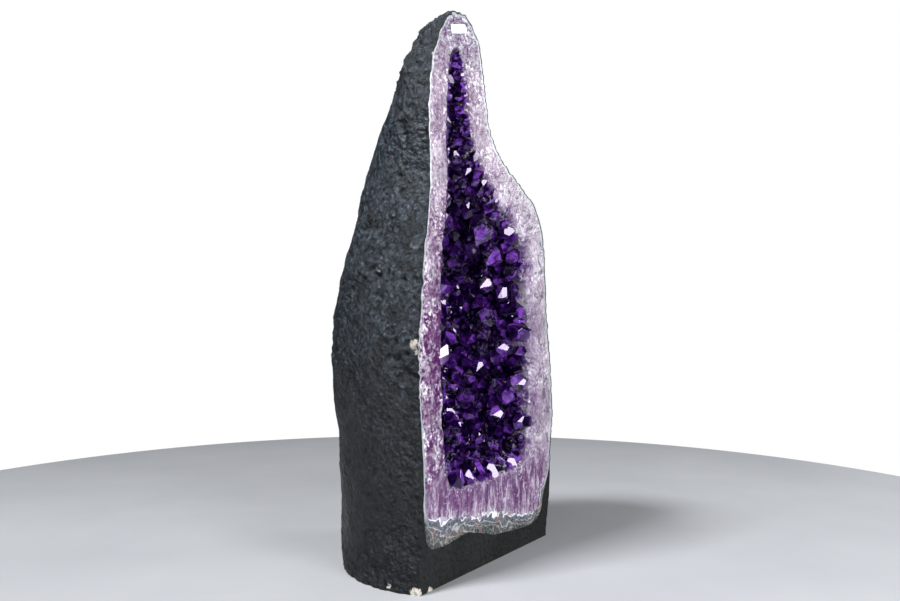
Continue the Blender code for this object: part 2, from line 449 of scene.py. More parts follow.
@dataclass(frozen=True)
class BasaltFinish:
    """Rough dark rock with a thin satin coat of slate-grey paint.

    Attributes:
        dark: Colour of the darker half of the coat.
        light: Colour of its lighter half.
        wear_and_highlight: Colour of painted highlights on high spots, and of real scratches in the coat.
        painted_shade: Colour of painted shade in hollows and towards the foot; the top is also darkened with
            it.
        sawn: Colour of the flat sawn face.
        chip: Colour of the bare rock where the coat is chipped off.
        chips: Place and radius of each chip.
        ragged: How uneven a chip's edge is, in radii.
    """

    dark: Colour = (0.0230, 0.0320, 0.0440)
    light: Colour = (0.0540, 0.0690, 0.0890)
    wear_and_highlight: Colour = (0.190, 0.225, 0.270)
    painted_shade: Colour = (0.0030, 0.0042, 0.0058)
    sawn: Colour = (0.0080, 0.0105, 0.0100)
    chip: Colour = (0.66, 0.62, 0.55)
    chips: tuple[tuple[float, float, float, float], ...] = (
        (-0.2166, -0.0625, 0.4879, 0.0040),
        (-0.2177, -0.0653, 0.4817, 0.0035),
        (-0.2242, -0.1350, 0.3771, 0.0090),
        (-0.2215, -0.1390, 0.3655, 0.0060),
        (-0.2223, -0.1355, 0.0035, 0.0110),
        (-0.1936, -0.1423, 0.0014, 0.0070),
        (-0.2278, -0.0882, 0.0074, 0.0060),
        (-0.1851, -0.1421, 0.8226, 0.0030),
    )
    ragged: float = 1.3

    def build(self) -> bpy.types.Material:
        """Makes the material."""
        paint = Paint("basalt_paint")
        where = paint.coordinate(Coordinate.OBJECT)
        broad = paint.noise(where, 7.0, 3.0, 0.5)
        fine = paint.noise(where, 130.0, 6.0, 0.72)
        grit = paint.noise(where, 190.0, 3.0, 0.60)
        bumps = paint.noise(where, 60.0, 4.0, 0.60, 0.4)
        scratch = paint.noise(paint.coordinate(Coordinate.OBJECT, (1.0, 1.0, 0.22)), 210.0, 4.0, 0.6, 0.6)
        lumps = paint.cells(where, 130.0, "SMOOTH_F1")
        pimples = paint.span(paint.cells(where, 75.0), 0.34, 0.12)
        rocky = paint.span(broad, 0.42, 0.58, 0.25, 1.0)
        height = paint.height(where)
        cut = paint.value("cut")
        colour = paint.lay(
            paint.ramp(broad, ((0.36, self.dark), (0.70, self.light))),
            # painted highlight on the grit's high spots
            (self.wear_and_highlight, paint.span(grit, 0.57, 0.66), rocky, 0.85),
            # painted shade in the grit's hollows
            (self.painted_shade, paint.span(grit, 0.44, 0.36), rocky, 0.85),
            # painted highlight on the fine grain's high spots
            (self.wear_and_highlight, paint.span(fine, 0.56, 0.72, 0.0, 0.55)),
            # real scratches in the coat
            (self.wear_and_highlight, paint.span(scratch, 0.62, 0.74, 0.0, 0.20)),
            # painted shade in the recesses of the lumps, and where the relief noise is low
            (self.painted_shade, paint.span(lumps, 0.34, 0.58, 0.0, 0.65)),
            (self.painted_shade, paint.span(paint.value("relief"), -0.05, -0.45, 0.0, 0.60)),
            # painted shade towards the foot
            (self.painted_shade, paint.span(height, 0.50, 0.16, 0.0, 0.80)),
            # darker towards the top
            (self.painted_shade, paint.span(height, 0.62, 0.85, 0.0, 0.30)),
            (self.sawn, cut, 0.85),
        )
        paint.link(self._chips(paint, where, colour), "Base Color")
        satin = paint.span(fine, 0.3, 0.7, 0.28, 0.50)
        paint.link(paint.math("ADD", satin, paint.product(cut, 0.40)), "Roughness")
        paint.set(Specular_IOR_Level=0.3)
        paint.bump(
            (bumps, 0.0140, 1.0),
            (paint.product(pimples, rocky), 0.0035, 1.0),
            (lumps, -0.0050, 0.8),
            (paint.product(grit, rocky), 0.0050, 1.0),
            (paint.product(fine, rocky), 0.0090, 1.0),
        )
        return paint.material

    def _chips(self, paint: Paint, where: Socket, colour: Socket) -> Socket:
        """Bare pale spots where the coat is chipped off.

        Args:
            paint: The material.
            where: Coordinates on the object.
            colour: The coat's colour.

        Returns:
            The colour with the chips.
        """
        uneven = paint.noise(where, 260.0, 3.0)
        for x, y, z, radius in self.chips:
            gap = paint.node("VectorMath", {0: where, 1: (x, y, z)}, operation="DISTANCE").outputs["Value"]
            edge = paint.math("ADD", gap, paint.product(uneven, radius * self.ragged))
            colour = paint.lay(colour, (self.chip, paint.span(edge, radius * 1.55, radius * 1.35)))
        return colour


@dataclass(frozen=True)
class AgateFinish:
    """Thin polished bands of white and grey agate, with swirls and brown pockets where it pools.

    Attributes:
        rim: Colours across the thin rim, from the basalt to the quartz.
        pool: Colours across the thick layer above the foot.
        pockets: Colours of the pockets in that layer.
        vein: Colour of the fine cracks.
    """

    rim: Stops = (
        (0.00, (0.10, 0.12, 0.13)),
        (0.14, (0.34, 0.37, 0.39)),
        (0.34, (0.20, 0.25, 0.28)),
        (0.52, (0.46, 0.50, 0.54)),
        (0.74, (0.24, 0.27, 0.32)),
        (0.88, (0.50, 0.52, 0.57)),
        (1.00, (0.34, 0.32, 0.40)),
    )
    pool: Stops = (
        (0.00, (0.022, 0.028, 0.028)),
        (0.16, (0.045, 0.055, 0.052)),
        (0.22, (0.26, 0.28, 0.28)),
        (0.26, (0.060, 0.046, 0.036)),
        (0.44, (0.045, 0.062, 0.085)),
        (0.50, (0.42, 0.45, 0.47)),
        (0.54, (0.075, 0.085, 0.100)),
        (0.68, (0.030, 0.045, 0.062)),
        (0.76, (0.15, 0.13, 0.20)),
        (0.83, (0.045, 0.065, 0.075)),
        (0.88, (0.80, 0.83, 0.86)),
        (0.95, (0.70, 0.72, 0.76)),
        (0.975, (0.20, 0.18, 0.25)),
        (1.00, (0.40, 0.37, 0.46)),
    )
    pockets: Stops = (
        (0.25, (0.08, 0.05, 0.05)),
        (0.45, (0.04, 0.06, 0.07)),
        (0.62, (0.20, 0.09, 0.05)),
        (0.80, (0.24, 0.13, 0.17)),
    )
    vein: Colour = (0.62, 0.66, 0.68)

    def build(self) -> bpy.types.Material:
        """Makes the material."""
        paint = Paint("agate_bands")
        where = paint.coordinate(Coordinate.OBJECT)
        low = paint.value("pool")
        warp = paint.noise(where, 40.0, 2.0, 0.5, 0.5)
        ripple = paint.product(paint.math("SUBTRACT", warp, 0.5), paint.span(low, 0.0, 1.0, 0.55, 1.25))
        place = paint.math("ADD", paint.value("across"), ripple)
        warm = paint.ramp(paint.cells(where, 62.0, output="Color"), self.pockets)
        spots = paint.span(paint.noise(where, 95.0, 2.0), 0.56, 0.66)
        cracks = paint.span(paint.cells(where, 105.0, "DISTANCE_TO_EDGE"), 0.05, 0.015)
        colour = paint.lay(
            paint.ramp(place, self.rim),
            (paint.ramp(place, self.pool), low),
            (warm, spots, low, 0.85),
            (self.vein, cracks, low, 0.25),
        )
        paint.link(colour, "Base Color")
        paint.link(paint.span(warp, 0.3, 0.7, 0.16, 0.34), "Roughness")
        paint.bump((paint.noise(where, 400.0, 3.0), 0.0004, 0.35), (warp, 0.0010, 0.3))
        return paint.material


@dataclass(frozen=True)
class QuartzFinish:
    """Milky quartz that grows in columns from the agate and turns violet towards the cavity.

    Attributes:
        pale: Colours from the agate to the cavity where it is pale.
        mauve: Colours from the agate to the cavity where it is mauve.
        plum: Colour of the darkest stains.
        slate: Colour of smoky patches.
        frost: Colour of milky patches.
        sky: Colour of painted shade at the very top.
        painted_glint: Colour of painted glints on the brightest grains.
        violet: Colour that the columns above the foot are steeped in.
    """

    pale: Stops = (
        (0.00, (0.46, 0.46, 0.50)),
        (0.16, (0.43, 0.39, 0.45)),
        (0.55, (0.38, 0.32, 0.41)),
        (0.85, (0.27, 0.19, 0.32)),
        (1.00, (0.085, 0.035, 0.15)),
    )
    mauve: Stops = (
        (0.00, (0.40, 0.37, 0.43)),
        (0.14, (0.27, 0.15, 0.28)),
        (0.50, (0.17, 0.062, 0.18)),
        (0.82, (0.10, 0.026, 0.13)),
        (1.00, (0.045, 0.008, 0.090)),
    )
    plum: Colour = (0.070, 0.007, 0.085)
    slate: Colour = (0.13, 0.105, 0.155)
    frost: Colour = (0.66, 0.62, 0.71)
    sky: Colour = (0.15, 0.17, 0.25)
    painted_glint: Colour = (0.95, 0.92, 0.97)
    violet: Colour = (0.13, 0.060, 0.17)

    def build(self) -> bpy.types.Material:
        """Makes the material."""
        paint = Paint("milky_quartz")
        where = paint.coordinate(Coordinate.OBJECT)
        columns = paint.noise(paint.coordinate(Coordinate.GRAIN, (1, 1, 0.30)), 60.0, 3.0, 0.6, 0.7)
        pillars = paint.noise(paint.coordinate(Coordinate.OBJECT, (1.0, 1.0, 0.21)), 85.0, 3.0, 0.60, 1.1)
        clouds = paint.noise(where, 15.0, 4.0, 0.60, 1.0)
        blotches = paint.noise(where, 34.0, 4.0, 0.62, 1.2)
        patches = paint.cells(where, 42.0, "SMOOTH_F1", "Color")
        grains = paint.noise(where, 150.0, 3.0, 0.62, 0.4)
        height = paint.height(where)
        side, foot = paint.value("mauve"), paint.value("foot")
        above = paint.span(foot, 0.0, 1.0, 1.0, 0.30)
        rich = paint.product(paint.span(side, 0.1, 1.0, 0.15, 1.0), above)
        clusters = paint.product(
            paint.span(patches, 0.30, 0.70, 0.10, 1.0), above, paint.span(side, 0.2, 0.8, 0.60, 1.0)
        )
        milky = paint.product(paint.span(clouds, 0.50, 0.60), paint.span(foot, 0.0, 1.0, 0.55, 0.15))
        sway = paint.math("ADD", paint.product(columns, 0.9), paint.product(blotches, 0.7))
        depth = paint.math("ADD", paint.value("across"), paint.math("SUBTRACT", sway, 0.80))
        colour = paint.lay(
            paint.ramp(depth, self.pale),
            (paint.ramp(depth, self.mauve), side),
            # painted shade at the very top
            (self.sky, paint.span(height, 0.80, 0.88, 0.0, 0.80)),
            (self.frost, milky, paint.span(height, 0.62, 0.72, 1.0, 0.45)),
            (self.frost, paint.span(patches, 0.55, 0.85), 0.45),
            (self.slate, paint.span(patches, 0.45, 0.15), 0.45),
            (self.slate, paint.span(blotches, 0.48, 0.38), above, 0.90),
            (self.plum, paint.span(blotches, 0.50, 0.58), rich),
            (self.violet, foot, 0.48),
            (self.frost, paint.span(pillars, 0.54, 0.64), foot, 0.50),
            (self.plum, paint.span(pillars, 0.51, 0.40), foot, 0.92),
            (self.plum, paint.span(grains, 0.47, 0.40), rich, 0.85),
            (self.frost, paint.span(grains, 0.53, 0.60), clusters),
            # painted glints on the brightest grains
            (self.painted_glint, paint.span(grains, 0.60, 0.64), clusters),
        )
        paint.link(colour, "Base Color")
        paint.link(paint.span(grains, 0.35, 0.7, 0.12, 0.40), "Roughness")
        paint.set(Specular_IOR_Level=0.55)
        paint.bump((grains, 0.0020, 0.7), (columns, 0.0020, 0.4), (blotches, 0.0050, 0.6))
        return paint.material


@dataclass(frozen=True)
class CrystalFinish:
    """Amethyst that is milky at the root and deep violet at the tip, with bright and dark facets.

    Attributes:
        root: Colour of the milky root.
        night: Colour of the facets that return no light.
        body: Colour of most facets.
        lit: Colour of the facets that some light comes back through.
        glow: Colour of the brightest of them.
        veil: Colour of the cloudy patches.
        cut: Colours of the faces that the saw cut, from a crystal's root to its tip.
    """

    root: Colour = (0.15, 0.075, 0.23)
    night: Colour = (0.0030, 0.0006, 0.0120)
    body: Colour = (0.0130, 0.0020, 0.043)
    lit: Colour = (0.050, 0.0090, 0.140)
    glow: Colour = (0.200, 0.055, 0.460)
    veil: Colour = (0.50, 0.42, 0.62)
    cut: Stops = (
        (0.00, (0.22, 0.15, 0.27)),
        (0.22, (0.11, 0.050, 0.16)),
        (0.48, (0.034, 0.008, 0.080)),
        (0.80, (0.012, 0.003, 0.036)),
    )

    def build(self) -> bpy.types.Material:
        """Makes the material."""
        paint = Paint("amethyst")
        where = paint.coordinate(Coordinate.OBJECT)
        height, sawn = paint.value("height"), paint.value("sawn")
        cloud = paint.noise(where, 62.0, 4.0, 0.62, 0.8)
        wisps = paint.noise(where, 110.0, 5.0, 0.65, 1.2)
        cloudy = paint.span(paint.value("tint"), 0.40, 1.0, 0.0, 0.85)
        shade = paint.product(paint.math("SUBTRACT", cloud, 0.5), 1.9)
        facet = paint.math("ADD", paint.value("facet"), shade)
        milk = paint.math("ADD", height, paint.product(cloud, 0.35))
        sway = paint.math("SUBTRACT", paint.noise(where, 85.0, 5.0, 0.7, 0.8), 0.5)
        # Painted light: each facet's random shade and the cloud in it stand for the light that comes back
        # out of the facet, from none to a glow.
        stops = ((0.22, self.night), (0.50, self.body), (0.76, self.lit), (1.00, self.glow))
        colour = paint.lay(
            paint.ramp(facet, stops),
            (self.veil, paint.span(wisps, 0.50, 0.70), cloudy),
            (self.root, paint.span(milk, 0.42, 0.16, 0.0, 0.45)),
            (paint.ramp(paint.math("ADD", height, sway), self.cut), sawn),
        )
        paint.link(colour, "Base Color")
        polish = paint.span(paint.noise(where, 90.0, 3.0), 0.35, 0.7, 0.02, 0.07)
        paint.link(paint.math("ADD", polish, paint.product(sawn, 0.35)), "Roughness")
        paint.set(IOR=1.65, Specular_Tint=(0.88, 0.78, 1.0, 1.0))
        paint.bump((paint.noise(where, 60.0, 2.0), 0.0008, 0.08))
        return paint.material


@dataclass(frozen=True)
class PaperFinish:
    """Plain white label paper."""

    def build(self) -> bpy.types.Material:
        """Makes the material."""
        paint = Paint("label_paper")
        fibre = paint.noise(paint.coordinate(Coordinate.OBJECT), 900.0, 4.0)
        paint.link(paint.ramp(fibre, ((0.3, (0.80, 0.80, 0.78)), (0.7, (0.90, 0.90, 0.89)))), "Base Color")
        paint.set(Roughness=0.55)
        paint.bump((fibre, 0.0001, 0.3))
        return paint.material


@dataclass(frozen=True)
class FloorFinish:
    """A plain pale studio floor."""

    def build(self) -> bpy.types.Material:
        """Makes the material."""
        paint = Paint("studio_floor")
        clouds = paint.noise(paint.coordinate(Coordinate.OBJECT), 3.0, 4.0)
        paint.link(paint.ramp(clouds, ((0.3, (0.29, 0.30, 0.32)), (0.7, (0.32, 0.33, 0.35)))), "Base Color")
        paint.set(Roughness=0.85)
        return paint.material


# ---- The geode's pieces ----


@dataclass
class FrontRays:
    """The sawn front's outlines, all measured along the same rays.

    Attributes:
        spine: Where the rays start.
        edge: Corners of the shell's outer edge, in order round the front.
        feet: Where each corner's ray leaves the spine.
        ways: Unit vectors from there to the corners.
        shell: Distance of each corner.
    """

    spine: Spine
    edge: np.ndarray
    feet: np.ndarray = field(init=False)
    ways: np.ndarray = field(init=False)
    shell: np.ndarray = field(init=False)

    def __post_init__(self) -> None:
        """Finds each corner's nearest place on the spine and the way out from there."""
        line = np.array([tuple(self.spine.at(i / 400)[0]) for i in range(401)])
        gaps = np.linalg.norm(self.edge[:, None, :] - line[None, :, :], axis=2)
        feet = smooth(line[gaps.argmin(axis=1)], 5.0, ring=True)
        out = self.edge - feet
        self.shell = np.linalg.norm(out, axis=1)
        self.ways = out / self.shell[:, None]
        self.feet = feet

    def outline(self, solid: Solid, blur: float) -> np.ndarray:
        """Distances to a solid's outer edge at the front."""
        skim = BACK * SKIM
        reach = [solid.from_outside(Vector(f) + skim, Vector(w)) for f, w in zip(self.feet, self.ways)]
        return smooth(fill_misses(np.array(reach)), blur, ring=True)

    def points(self, reach: np.ndarray, deep: float = 0.0) -> np.ndarray:
        """The places at those distances, a little behind the front."""
        places = self.feet + self.ways * reach[:, None]
        places[:, 1] = self.spine.front + deep
        return places

    def arc(self, reach: np.ndarray) -> np.ndarray:
        """Length along an outline at each of its corners."""
        places = self.points(reach)
        steps = np.linalg.norm(np.roll(places, -1, axis=0) - places, axis=1)
        return np.concatenate([[0.0], np.cumsum(steps)[:-1]])


@dataclass
class BasaltSkin:
    """The dark shell: its rough outside, its sawn foot and its thin edge round the front.

    Attributes:
        nodes: The CAD nodes.
        front: y of the sawn front.
        bends: Bends of the spine that the outside is measured from.
        rows: Rows of corners up the outside.
        columns: Corners from its left edge round the back to its right edge.
        fan: Rows that close it at the top.
        floor_rows: Rows of corners on the foot.
        front_steps: Faces across its edge round the front.
        lip: How far its inner lip goes back.
        lump: Height of the broad lumps.
        knob: Height of the knobs.
        crumb: Height of the small pebbles.
        edge: Corners of its edge round the front, in order.
        bm: The mesh while it is made.
    """

    nodes: dict[str, Object]
    front: float
    bends: Bends = (
        (0.0, 0.0006), (0.0, 0.21), (-0.004, 0.42), (-0.050, 0.585), (-0.100, 0.72), (-0.106, 0.842)
    )
    rows: int = 262
    columns: int = 186
    fan: int = 34
    floor_rows: int = 7
    front_steps: int = 10
    lip: float = 0.012
    lump: float = 0.0036
    knob: float = 0.0050
    crumb: float = 0.0028
    edge: np.ndarray = field(init=False)
    bm: Mesh = field(init=False)

    def shape(self) -> None:
        """Lays the outside and the foot on the CAD shell, and roughens the outside."""
        solid = Solid(self.nodes, "basalt_shell")
        low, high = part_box("basalt_shell")
        sweep = Sweep(Spine(self.bends, self.front), self.rows, self.columns, fan_high=self.fan)
        reach = sweep.reach(solid, outside=True)
        points = sweep.points(reach)
        points = points + grid_normals(points) * self._roughness(points)[:, :, None]
        points[:, :, 1] = np.maximum(points[:, :, 1], self.front)
        points[:, (0, -1), 1] = self.front
        points[:, :, 2] = np.clip(points[:, :, 2], 0.0, high.z + 0.001)
        points[0, :, 2] = 0.0
        points[-1] = points[-1].mean(axis=0)
        points[-1, :, 1] = self.front
        line = np.linspace(points[0, 0], points[0, -1], self.columns)
        line[:, 1] = self.front
        shares = np.linspace(0.0, 1.0, self.floor_rows, endpoint=False)[:, None, None]
        foot = line[None] * (1 - shares) + points[0][None] * shares
        grid = np.concatenate([foot, points])
        self.edge = self._edge(grid)
        self.bm = laid_grid(grid)

    def _roughness(self, points: np.ndarray) -> np.ndarray:
        """How far each place of the outside stands out: broad lumps, knobs and small pebbles."""
        rough = np.zeros(points.shape[:2])
        for i, row in enumerate(points):
            for j, place in enumerate(row):
                at = Vector(place)
                broad = mottle(at, 0.065, 3, 4.0)
                knobs = 0.30 - abs(mottle(at, 0.024, 3, 9.0)) * 1.5
                crumbs = mottle(at, 0.0100, 3, 2.0)
                rocky = clamped(0.50 + 1.6 * mottle(at, 0.13, 2, 7.0), 0.12, 1.3)
                rough[i, j] = self.lump * broad + rocky * (self.knob * knobs + self.crumb * crumbs)
        return rough

    def _edge(self, grid: np.ndarray) -> np.ndarray:
        """The corners round the front: up the left edge, down the right one and back along the foot."""
        foot = self.floor_rows
        left, right = grid[foot:-1, 0], grid[foot:, -1][::-1]
        return np.concatenate([left, right, grid[0, 1:-1][::-1]])

    def finish(self, rays: FrontRays, inner: np.ndarray) -> Object:
        """Closes the front round the agate and gives the shell its inner lip.

        Args:
            rays: The front's rays, one for each corner of the edge.
            inner: Distance of the shell's inner edge along each ray.

        Returns:
            The piece.
        """
        rings = [rays.points(rays.shell)]
        for step in range(1, self.front_steps + 1):
            share = step / self.front_steps
            reach = rays.shell * (1 - share) + inner * share
            sunk = np.array([0.0004 * mottle(Vector(p), 0.018, 3, 5.0) for p in rays.points(reach)])
            rings.append(rays.points(reach, BEHIND + np.abs(sunk) * (1 - share) * min(1.0, 3 * share)))
        rings.append(rays.points(inner, self.lip))
        face = laid_grid(np.stack(rings, axis=1), ring=True)
        turn_to(face, -BACK)
        lining = bpy.data.meshes.new("shell_front")
        face.to_mesh(lining)
        face.free()
        self.bm.from_mesh(lining)
        bpy.data.meshes.remove(lining)
        bmesh.ops.remove_doubles(self.bm, verts=self.bm.verts, dist=SEAM_MERGE)
        bmesh.ops.recalc_face_normals(self.bm, faces=self.bm.faces)
        middle = Vector((0, 0, 0.4))
        outward = sum(f.normal.dot(f.calc_center_median() - middle) * f.calc_area() for f in self.bm.faces)
        if outward < 0:
            bmesh.ops.reverse_faces(self.bm, faces=self.bm.faces)
        piece = mesh_object("basalt_skin", self.bm)
        places = np.array([tuple(v.co) for v in piece.data.vertices])
        # A noise that the basalt paint darkens with painted shade where it is low, as if in hollows.
        relief = np.array([mottle(Vector(p), 0.022, 3, 9.0) for p in places])
        store(piece, "relief", relief)
        store(piece, "cut", (places[:, 1] < self.front + 0.0012).astype(float))
        sharpen(piece, 55.0)
        return piece


def mark_facets(piece: Object, rng: random.Random, front: float) -> None:
    """Gives every facet a random shade, which the amethyst paints as the light coming back out of it, and
    marks the ones that the saw cut at the front.
    """
    faces = piece.data.polygons
    shades = np.array([rng.random() for _ in faces], np.float32)
    sawn = np.array([f.center.y < front and f.normal.y < -0.99 for f in faces], np.float32)
    for name, values in (("facet", shades), ("sawn", sawn)):
        layer = piece.data.attributes.new(name, "FLOAT", "FACE")
        layer.data.foreach_set("value", values)


def turn_to(bm: Mesh, way: Vector) -> None:
    """Turns all faces over if, taken together, they look away from way."""
    bm.normal_update()
    total = sum((f.normal * f.calc_area() for f in bm.faces), Vector())
    if total.dot(way) < 0:
        bmesh.ops.reverse_faces(bm, faces=bm.faces)


def sharpen(piece: Object, degrees: float) -> None:
    """Shades the piece smooth except over edges sharper than the angle."""
    piece.data.set_sharp_from_angle(angle=math.radians(degrees))


@dataclass
class FrontBand:
    """A flat lining of the sawn front between two outlines, such as the agate or the quartz.

    Attributes:
        name: The piece's name.
        rays: The front's rays.
        outer: Distance of its outer edge along each ray.
        inner: Distance of its inner edge.
        steps: Faces across the band.
        relief: Height of its unevenness.
        sunk: How far it lies behind the front.
        rounding: How far its inner edge rolls back into the cavity.
        depth: How far its inner wall goes back.
        outer_depth: How far its outer wall goes back.
    """

    name: str
    rays: FrontRays
    outer: np.ndarray
    inner: np.ndarray
    steps: int
    relief: float
    sunk: float = 0.0007
    rounding: float = 0.0
    depth: float = 0.010
    outer_depth: float = 0.004

    def build(self) -> Object:
        """Makes the band with its walls, and stores how far across it each corner is."""
        rings = [self.rays.points(self.outer, self.outer_depth)]
        across = [0.0]
        for step in range(self.steps + 1):
            share = step / self.steps
            reach = self.outer * (1 - share) + self.inner * share
            places = self.rays.points(reach, self.sunk)
            inward = max(0.0, 1 - (1 - share) * 7)
            for place in places:
                lift = mottle(Vector(place), 0.014, 3, 3.0)
                place[1] += self.relief * (lift + 0.2) * min(1.0, share * 8) + self.rounding * inward**2
            places[:, 1] = np.maximum(places[:, 1], self.rays.spine.front + BEHIND)
            rings.append(places)
            across.append(share)
        rings.append(self.rays.points(self.inner, self.rounding + self.depth))
        across.append(1.0)
        points = np.stack(rings, axis=1)
        bm = laid_grid(points, ring=True)
        turn_to(bm, -BACK)
        piece = mesh_object(self.name, bm)
        self._store(piece, points, np.array(across))
        sharpen(piece, 60.0)
        return piece

    def _store(self, piece: Object, points: np.ndarray, across: np.ndarray) -> None:
        """Stores the share of the way across, and coordinates that follow the band."""
        flat = points.reshape(-1, 3)
        lookup = {tuple(np.round(p, 5)): i for i, p in enumerate(flat)}
        length = self.rays.arc(self.outer)
        radius = length[-1] / (2 * math.pi)
        turn = length / radius
        width = np.abs(self.outer - self.inner)
        columns = len(across)
        shares, grain = [], []
        for v in piece.data.vertices:
            i, j = divmod(lookup.get(tuple(np.round(np.array(v.co), 5)), 0), columns)
            shares.append(across[j])
            grain.append((radius * math.cos(turn[i]), radius * math.sin(turn[i]), across[j] * width[i]))
        store(piece, "across", np.array(shares))
        store(piece, "grain", np.array(grain))


@dataclass
class CavityBed:
    """The cavity's wall behind the crystals.

    Attributes:
        solid: The quartz that it lies on.
        front: y of the sawn front.
        bends: Bends of the spine that it is measured from.
        rows: Rows of corners up the wall.
        columns: Corners from its left edge round the back to its right edge.
        fan: Rows that close it below, and again above.
        clearance: How far it stands in front of the quartz.
        tuck: How far its edge at the front is tucked behind the quartz.
        eased: Depth over which it goes from one to the other.
        behind: How far behind the front it starts.
        relief: Height of its small facets.
    """

    solid: Solid
    front: float
    bends: Bends = (
        (-0.010, 0.215), (-0.010, 0.36), (-0.018, 0.50), (-0.070, 0.60), (-0.108, 0.70), (-0.112, 0.80)
    )
    rows: int = 120
    columns: int = 110
    fan: int = 30
    clearance: float = 0.004
    tuck: float = 0.006
    eased: float = 0.030
    behind: float = 0.008
    relief: float = 0.0022

    def __post_init__(self) -> None:
        """Measures the wall."""
        spine = Spine(self.bends, self.front)
        self.sweep = Sweep(spine, self.rows, self.columns, self.fan, self.fan)
        self.points = self.sweep.points(self.sweep.reach(self.solid, outside=False, blur=3.0))
        self.normals = grid_normals(self.points)
        middle = np.array([[tuple(ray[0]) for ray in row] for row in self.sweep.rays()])
        flips = np.sign((self.normals * (middle - self.points)).sum(axis=2))
        self.normals *= np.where(flips == 0, 1, flips)[:, :, None]

    def build(self) -> Object:
        """Makes the wall, a little in front of the quartz and rough with small facets."""
        rough = np.zeros(self.points.shape[:2])
        for i, row in enumerate(self.points):
            for j, place in enumerate(row):
                rough[i, j] = self.relief * mottle(Vector(place), 0.012, 2, 1.0)
        inside = np.clip((self.points[:, :, 1] - self.front) / self.eased, 0.0, 1.0)
        lift = (self.clearance + rough) * inside - self.tuck * (1 - inside)
        points = self.points + self.normals * lift[:, :, None]
        points[:, :, 1] = np.maximum(points[:, :, 1], self.front + self.behind)
        bm = laid_grid(points)
        turn_to(bm, -BACK)
        piece = mesh_object("cavity_bed", bm, smooth_faces=False)
        store(piece, "height", np.full(len(piece.data.vertices), 0.7))
        mark_facets(piece, random.Random(8), -1.0)
        return piece


@dataclass(frozen=True)
class Place:
    """Where a crystal stands.

    Attributes:
        root: The middle of its root.
        axis: The way it points.
        radius: Its radius.
        length: From root to tip.
        spin: Its turn about its axis.
    """

    root: Vector
    axis: Vector
    radius: float
    length: float
    spin: float

    def matrix(self) -> Matrix:
        """Takes a crystal of radius 1 and length 1 to this place."""
        turned = self.axis.to_track_quat("Z", "Y").to_matrix().to_4x4()
        size = Matrix.Diagonal((self.radius, self.radius, self.length, 1.0))
        return Matrix.Translation(self.root) @ turned @ Matrix.Rotation(self.spin, 4, "Z") @ size


@dataclass
class CrystalHabit:
    """Makes quartz crystals: a six-sided prism under a point of six unequal faces.

    Attributes:
        seed: Seed of the random draws.
        count: How many different crystals are made.
        bevel: Width of the bevel on their edges.
        taper: Radius at the top of the prism.
        flattest: The least width across, as a share of the radius.
        lean: How far the point is off the axis at most.
        slope: How far above level the faces of the point look, in degrees.
        slope_spread: How far that angle varies.
        templates: The crystals, of radius 1 and length 1.
    """

    seed: int
    count: int = 26
    bevel: float = 0.022
    taper: float = 0.97
    flattest: float = 0.82
    lean: float = 0.18
    slope: float = 38.2
    slope_spread: float = 4.0
    templates: list[Mesh] = field(default_factory=list)

    def build(self) -> None:
        """Makes the templates, of radius 1 and length 1 with the root at the origin."""
        rng = random.Random(self.seed)
        for _ in range(self.count):
            self.templates.append(self._template(rng))

    def _template(self, rng: random.Random) -> Mesh:
        """One crystal, which is brought to a length of 1 when it is done."""
        tall = CRYSTAL_TALL
        bm = bmesh.new()
        middle = Matrix.Translation((0, 0, tall / 2))
        bmesh.ops.create_cone(
            bm, cap_ends=True, segments=6, radius1=1.0, radius2=self.taper, depth=tall, matrix=middle
        )
        bmesh.ops.scale(bm, verts=bm.verts, vec=(1.0, rng.uniform(self.flattest, 1.0), 1.0))
        leaning = Vector((rng.uniform(-self.lean, self.lean), rng.uniform(-self.lean, self.lean), tall))
        big = rng.choice((0, 1))
        for k in range(6):
            turn = math.radians(30 + 60 * k)
            rise = math.radians(self.slope + rng.uniform(-self.slope_spread, self.slope_spread))
            away = Vector((math.cos(turn) * math.cos(rise), math.sin(turn) * math.cos(rise), math.sin(rise)))
            back = rng.uniform(0.0, 0.03) if k % 2 == big else rng.uniform(-0.02, 0.22)
            slice_off(bm, leaning + away * back, away)
        bm.normal_update()
        sharp = [e for e in bm.edges if e.calc_length() > 0.03 and min(v.co.z for v in e.verts) > 0.02]
        bmesh.ops.bevel(
            bm,
            geom=sharp,
            offset=self.bevel,
            segments=1,
            affect="EDGES",
            profile=0.5,
            material=-1,
            clamp_overlap=True,
        )
        top = max(v.co.z for v in bm.verts)
        bmesh.ops.scale(bm, verts=bm.verts, vec=(1.0, 1.0, 1.0 / top))
        return bm

    def place(self, place: Place, pick: int, front: float) -> tuple[Mesh, np.ndarray]:
        """A crystal at its place, sawn off at the front.

        Args:
            place: Where it stands.
            pick: Which template is used.
            front: y of the sawn front.

        Returns:
            Its mesh, and for each corner how far it is from root to tip.
        """
        bm = self.templates[pick % len(self.templates)].copy()
        bm.transform(place.matrix())
        if min(v.co.y for v in bm.verts) < front:
            slice_off(bm, Vector((0, front, 0)), -BACK)
        heights = np.array([(v.co - place.root).dot(place.axis) / place.length for v in bm.verts])
        return bm, heights


def slice_off(bm: Mesh, through: Vector, away: Vector) -> None:
    """Cuts off what is beyond a plane and closes the cut."""
    everything = bm.verts[:] + bm.edges[:] + bm.faces[:]
    bmesh.ops.bisect_plane(bm, geom=everything, plane_co=through, plane_no=away, clear_outer=True)
    open_edges = [e for e in bm.edges if e.is_boundary]
    if open_edges:
        bmesh.ops.holes_fill(bm, edges=open_edges)


